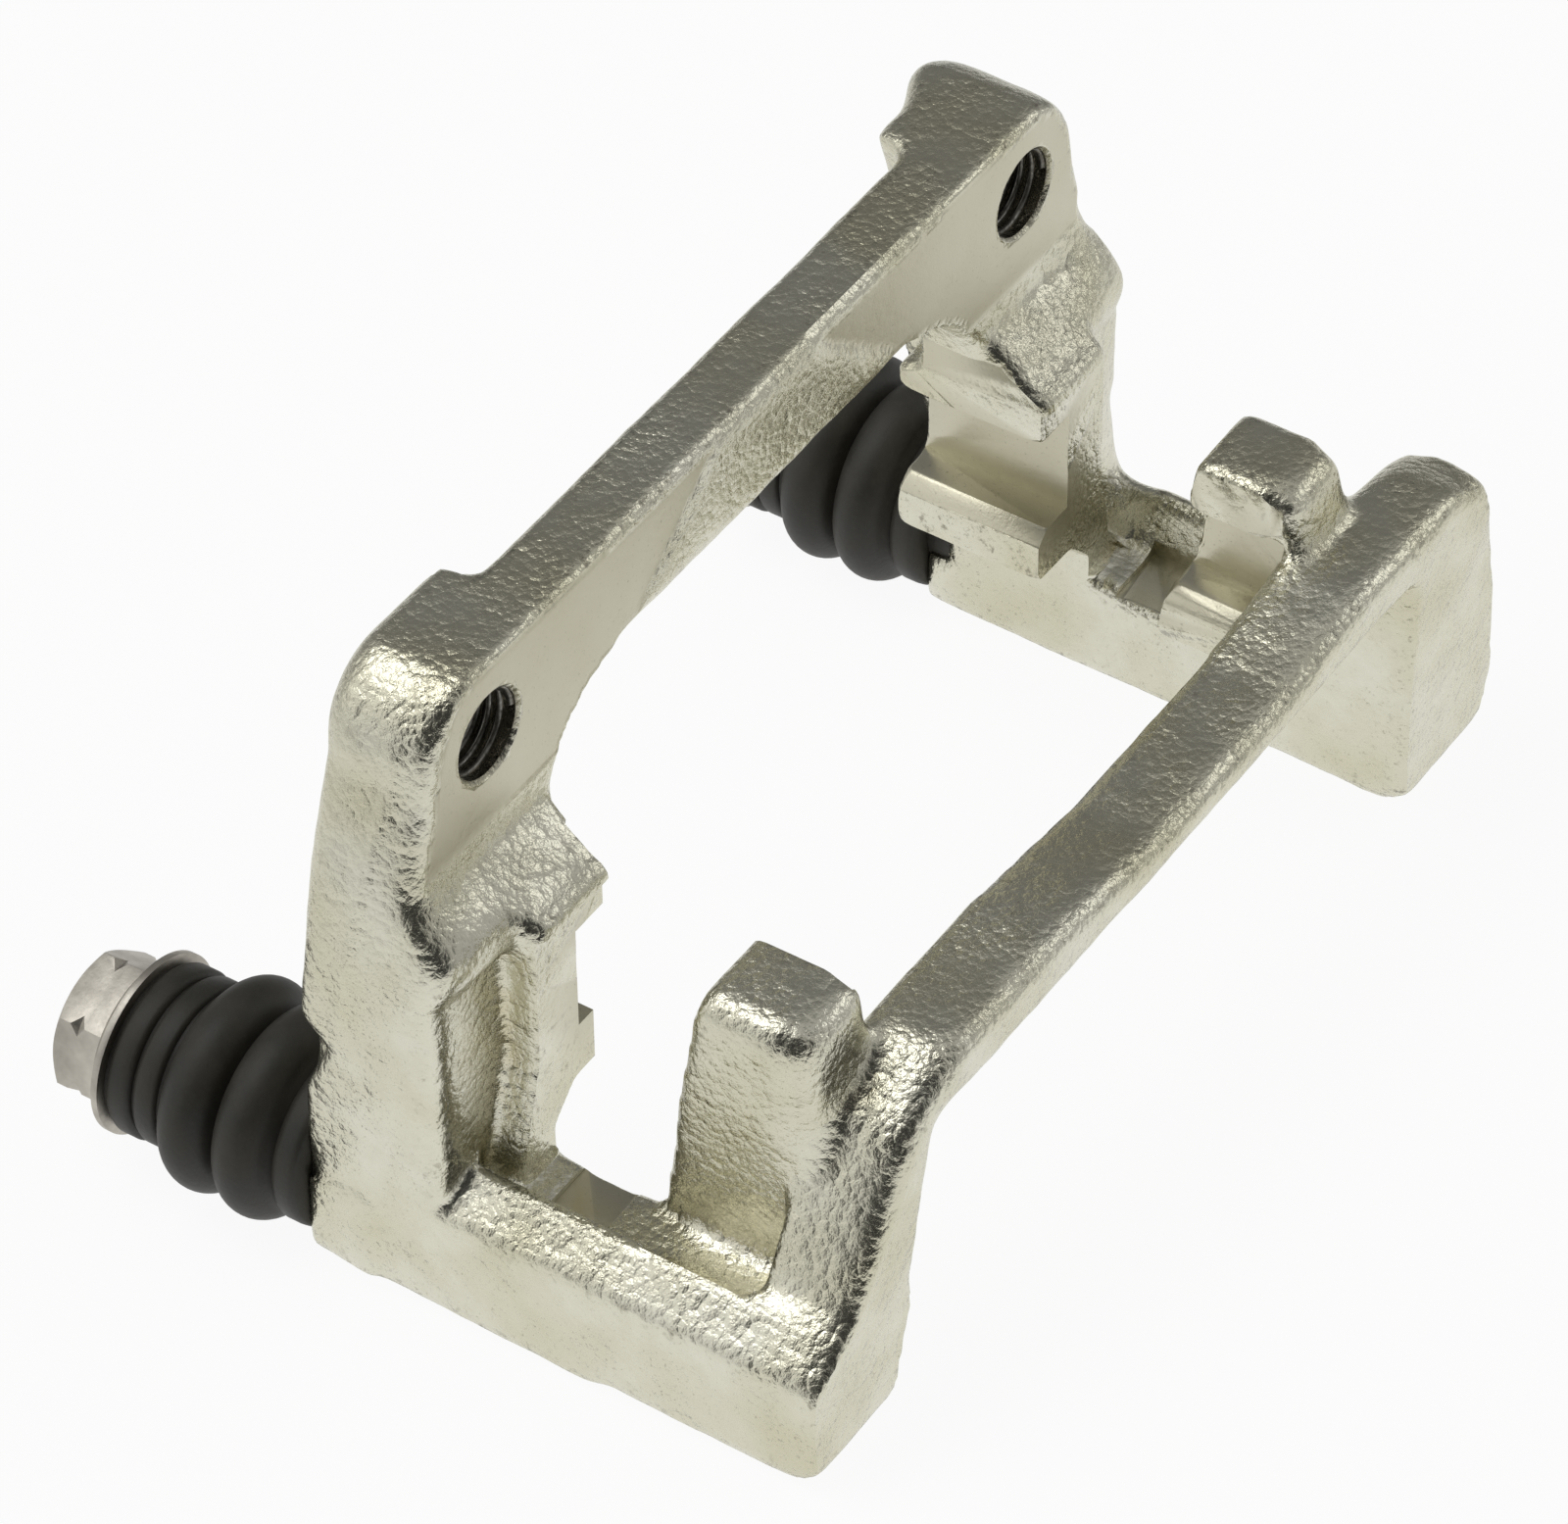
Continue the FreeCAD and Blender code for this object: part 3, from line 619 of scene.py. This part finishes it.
def tapped(name, mouth, radius, pitch, turns, depth, body):
    """A thread whose first turn lies at mouth and which runs inwards along +Y or -Y."""
    holder = link(bpy.data.objects.new(name, bpy.data.meshes.new(name)))
    modifier = holder.modifiers.new("thread", "NODES")
    modifier.node_group = thread
    for label, value in (("Radius", radius * MM), ("Pitch", pitch * MM), ("Turns", turns),
                         ("Depth", depth * MM), ("Finish", bore_steel.material)):
        modifier[inputs[label]] = value
    made_plain(holder)
    spot, inwards = mouth
    lie = Matrix.Rotation(math.radians(-90 * inwards), 4, "X")
    holder.data.transform(Matrix.Translation(spot) @ lie)
    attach(holder, body)
    print(name, len(holder.data.polygons), "faces")


for name, x_mm in (("near_mounting_thread", -HOLE_HALF), ("far_mounting_thread", HOLE_HALF)):
    tapped(name, (place(x_mm, 1.1, HOLE_HEIGHT), 1), BORE_RADIUS, 1.5, 9, 0.72, "casting")

# %% [markdown]
# The guide pins are turned from steel, so the CAD solid is right and only its hard
# edges have to break the light. A welded copy of the node takes a narrow bevel along
# its edges, and the thread in the hexagon's end is the same tree with finer numbers.

# %% Guide pins
PIN_HALF, PIN_HEIGHT = 67.5, 10.2
steel = Finish("pin_steel")
turned_marks = steel.noise(0.5, 4.0, 0.6)
smudge = steel.noise(5.0, 3.0, 0.6)
clean, smudged = (0.54, 0.51, 0.45, 1), (0.38, 0.355, 0.31, 1)
steel.set(Base_Color=steel.mix(smudge.above(0.35, 0.7), clean, smudged), Metallic=1.0,
          Roughness=(turned_marks * 0.22 + smudge * 0.15 + 0.26).clamp(),
          Normal=steel.bump(turned_marks, 0.03))
for side_name, x_mm in (("near", -PIN_HALF), ("far", PIN_HALF)):
    node = side_name + "_guide_pin"
    skin_name = side_name + "_pin_steel"
    pin = link(bpy.data.objects.new(skin_name, merged_copy(node, skin_name)))
    shape = bmesh.new()
    shape.from_mesh(pin.data)
    bmesh.ops.dissolve_limit(shape, angle_limit=math.radians(0.5), verts=shape.verts,
                             edges=shape.edges)
    shape.to_mesh(pin.data)
    shape.free()
    bevel = pin.modifiers.new("broken edges", "BEVEL")
    bevel.width = 0.3 * MM
    bevel.segments = 2
    bevel.limit_method = "ANGLE"
    bevel.angle_limit = math.radians(28)
    made_plain(pin)
    for face in pin.data.polygons:
        face.use_smooth = True
    pin.data.set_sharp_from_angle(angle=math.radians(28))
    pin.data.materials.append(steel.material)
    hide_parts(node)
    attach(pin, side_name + "_pin")
    tapped(side_name + "_pin_thread", (place(x_mm, 52.9, PIN_HEIGHT), -1), 3.5, 1.25, 9, 0.5,
           side_name + "_pin")
    print(node, len(pin.data.polygons), "faces")

# %% [markdown]
# The boots are bellows: a profile of two round folds between a plug in the arm and a collar
# with two broad rings on the pin's neck, turned about the pin's axis. Each is one closed skin
# with a real wall.

# %% Rubber
rubber = Finish("boot_rubber")
bloom = rubber.noise(6.0, 4.0, 0.6)
dust = rubber.noise(0.9, 4.0, 0.65)
greyed = (bloom.above(0.4, 0.75) * 0.6 + dust.above(0.55, 0.8) * 0.3).clamp()
rubber.set(Base_Color=rubber.mix(greyed, (0.022, 0.021, 0.016, 1), (0.052, 0.047, 0.035, 1)),
           Roughness=(0.40 + bloom * 0.22 + dust * 0.1).clamp(), Specular_IOR_Level=0.45,
           Normal=rubber.bump(dust + bloom, 0.05))

# %% Bellows profile
FOLD_START, NECK_START, FLANGE = 20.0, 36.0, 44.4
VALLEY, FOLD_ARC, WALL = 10.1, 4.0, 1.6


def arc(centre_r, centre_y, radius, start, end, steps):
    """Points of an arc in the (radius, depth) plane, angles in degrees."""
    angles = np.radians(np.linspace(start, end, steps))
    return [(centre_r + radius * math.cos(a), centre_y + radius * math.sin(a)) for a in angles]


def bellows_profile():
    """The boot's closed outline: outside going out along the pin, inside coming back."""
    outline = [(6.4, 11.6), (7.8, 11.6), (7.85, 12.0), (7.85, 15.5), (11.2, 15.5),
               (11.6, 15.9), (11.7, 16.6), (11.7, 18.2), (11.3, 19.0), (10.5, 19.5)]
    for index in range(2):
        middle = FOLD_START + 4.0 + 8.0 * index
        outline += arc(VALLEY, middle, FOLD_ARC - 0.15, -72, 72, 17)
        outline.append((VALLEY + 0.55, middle + 4.0))
    outline += [(10.2, 36.3)]
    for low, crown in ((36.7, 11.0), (40.4, 11.2)):
        outline += [(10.3, low), (crown - 0.2, low + 0.2), (crown, low + 0.6), (crown, low + 2.7),
                    (crown - 0.25, low + 3.2), (10.3, low + 3.45)]
    outline += [(10.4, FLANGE - 0.02), (6.62, FLANGE - 0.02), (6.62, NECK_START)]
    for index in (1, 0):
        middle = FOLD_START + 4.0 + 8.0 * index
        outline.append((VALLEY - WALL, middle + 3.2))
        outline += arc(VALLEY, middle, FOLD_ARC - WALL, 90, -90, 9)
        outline.append((VALLEY - WALL, middle - 3.2))
    outline.append((6.4, 19.6))
    return outline


def lathe(name, outline, centre, segments=144):
    """A closed outline turned about an axis along Y through centre."""
    shape = bmesh.new()
    rings = []
    for radius, depth in outline:
        ring = []
        for index in range(segments):
            angle = 2 * math.pi * index / segments
            ring.append(shape.verts.new(centre + Vector((
                radius * math.cos(angle), depth, radius * math.sin(angle))) * MM))
        rings.append(ring)
    for index, ring in enumerate(rings):
        after = rings[(index + 1) % len(rings)]
        for step in range(segments):
            beside = (step + 1) % segments
            shape.faces.new((ring[step], after[step], after[beside], ring[beside]))
    bmesh.ops.recalc_face_normals(shape, faces=shape.faces)
    mesh = bpy.data.meshes.new(name)
    shape.to_mesh(mesh)
    shape.free()
    for face in mesh.polygons:
        face.use_smooth = True
    return link(bpy.data.objects.new(name, mesh))


# %% Boots
for side_name, x_mm in (("near", -PIN_HALF), ("far", PIN_HALF)):
    boot = lathe(side_name + "_bellows", bellows_profile(), place(x_mm, 0, PIN_HEIGHT))
    boot.data.set_sharp_from_angle(angle=math.radians(50))
    boot.data.materials.append(rubber.material)
    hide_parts(side_name + "_boot")
    place(x_mm, FOLD_START, PIN_HEIGHT)
    place(x_mm, NECK_START, PIN_HEIGHT)
    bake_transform(boot)
    print(boot.name, len(boot.data.polygons), "faces")

# %% [markdown]
# The photograph stands the part on white paper in soft light. The floor is a pale
# plane that still takes the object's shadow. It lies under the boots' folds and the
# tie bar's foot, on which the part really rests, so it tips by a little over two
# degrees. A share of plain white for camera rays keeps it as bright as the paper.

# %% Floor
FOLD_FOOT = place(0, 28.0, PIN_HEIGHT - VALLEY - FOLD_ARC - 0.05)
BAR_FOOT = place(0, -51.0, -2.1)
slope = math.atan2(FOLD_FOOT.z - BAR_FOOT.z, FOLD_FOOT.y - BAR_FOOT.y)
bpy.ops.mesh.primitive_plane_add(size=1.1, location=BAR_FOOT, rotation=(slope, 0, 0))
floor = bpy.context.object
floor.name = "paper_floor"
paper = Finish("paper")
paper.set(Base_Color=(0.93, 0.93, 0.92, 1.0), Roughness=0.9)
glow = paper.node("Emission", {}, {"Color": (1, 1, 1, 1), "Strength": 1.0})
rays = paper.node("LightPath")
reach = paper.wire(paper.node("VectorMath", {"operation": "LENGTH"}, {0: paper.place}), "Value")
# Painted reflection: glossy rays see the floor glow white, a painted pool of light at full strength
# within 10 cm of the floor's middle, fading to 55 % beyond 34 cm.
painted_light_pool = 1 - reach.above(0.10, 0.34) * 0.45
seen = (paper.wire(rays, "Is Camera Ray") * 0.93 + paper.wire(rays, "Is Glossy Ray") * painted_light_pool).clamp()
blend = paper.node("MixShader", {}, {0: seen})
paper.tree.links.new(paper.shader.outputs[0], blend.inputs[1])
paper.tree.links.new(glow.outputs[0], blend.inputs[2])
paper.tree.links.new(blend.outputs[0], paper.tree.nodes["Material Output"].inputs["Surface"])
floor.data.materials.append(paper.material)
print("floor tips by", round(math.degrees(slope), 2), "degrees")

# %% [markdown]
# A metal looks like what it mirrors. The paper around the part mirrors as the pale
# tone of its sides, a wide bright window on the near side as the glow on its rounded
# corners, and the dark room on the camera's side as the dark streaks along them. So
# the world is grey, bright towards the window, darker beyond the part and dark
# towards the camera, and camera rays see white.

# %% World
world = bpy.data.worlds.new("studio")
bpy.context.scene.world = world
world.use_nodes = True
tree = world.node_tree
tree.nodes.clear()
outwards = tree.nodes.new("ShaderNodeTexCoord")


def glow_towards(direction, low, high):
    """How near a world direction is to the given one, as a ramp of its cosine."""
    dot = tree.nodes.new("ShaderNodeVectorMath")
    dot.operation = "DOT_PRODUCT"
    tree.links.new(outwards.outputs["Generated"], dot.inputs[0])
    dot.inputs[1].default_value = Vector(direction).normalized()
    return Wire(tree, dot.outputs["Value"]).above(low, high)


camera_side = glow_towards((-0.62, -0.50, 0.36), 0.50, 0.80)
beyond = glow_towards((0.75, 0.50, 0.40), 0.55, 0.90)
window = glow_towards((-0.55, 0.40, 0.72), 0.56, 0.86)
level = (0.50 + window * 0.52 - beyond * 0.30) * (1 - camera_side * 0.92)
lit = tree.nodes.new("ShaderNodeBackground")
lit.inputs["Color"].default_value = (1, 1, 1, 1)
tree.links.new(level.socket, lit.inputs["Strength"])
white = tree.nodes.new("ShaderNodeBackground")
white.inputs["Color"].default_value = (1, 1, 1, 1)
white.inputs["Strength"].default_value = 1.0
path = tree.nodes.new("ShaderNodeLightPath")
choice = tree.nodes.new("ShaderNodeMixShader")
tree.links.new(path.outputs["Is Camera Ray"], choice.inputs[0])
tree.links.new(lit.outputs[0], choice.inputs[1])
tree.links.new(white.outputs[0], choice.inputs[2])
out = tree.nodes.new("ShaderNodeOutputWorld")
tree.links.new(choice.outputs[0], out.inputs["Surface"])


# %% Soft boxes
def soft_box(name, spot, size, power):
    """A square area light that looks at the middle of the part."""
    lamp = bpy.data.lights.new(name, "AREA")
    lamp.size = size
    lamp.energy = power
    holder = link(bpy.data.objects.new(name, lamp))
    holder.location = spot
    aim = Vector((0, -0.01, -0.04)) - Vector(spot)
    holder.rotation_euler = aim.to_track_quat("-Z", "Y").to_euler()


soft_box("over_box", (-0.25, 0.35, 0.90), 0.5, 1.8)
soft_box("side_box", (0.75, -0.55, 0.45), 0.35, 0.5)

# %% [markdown]
# The camera was found from pairs of mirrored corners in the photograph: it looks
# from the near side, 44 degrees down, through a long lens about a metre away. Its
# matrix is written from that direction and the photograph's small roll.

# %% Camera
AZIMUTH, ELEVATION, ROLL = (math.radians(a) for a in (-56.153, 43.705, -0.654))
FOCAL_PIXELS, IMAGE_WIDTH, SENSOR_MM = 8348.53, 1600, 36.0
back = Vector((math.sin(AZIMUTH) * math.cos(ELEVATION),
               -math.cos(AZIMUTH) * math.cos(ELEVATION), math.sin(ELEVATION)))
right = (-back).cross(Vector((0, 0, 1))).normalized()
up = right.cross(-back)
rolled_right = math.cos(ROLL) * right + math.sin(ROLL) * up
rolled_up = -math.sin(ROLL) * right + math.cos(ROLL) * up
lens = bpy.data.cameras.new("photo_camera")
lens.sensor_width = SENSOR_MM
lens.lens = FOCAL_PIXELS / IMAGE_WIDTH * SENSOR_MM
lens.clip_end = 20.0
camera = link(bpy.data.objects.new("photo_camera", lens))
camera.matrix_world = (Matrix.Translation(place(-598.265, -403.155, 715.589))
                       @ Matrix((rolled_right, rolled_up, back)).transposed().to_4x4())
bpy.context.scene.camera = camera
bpy.context.scene.view_settings.view_transform = "Standard"
print("lens:", round(lens.lens, 1), "mm")
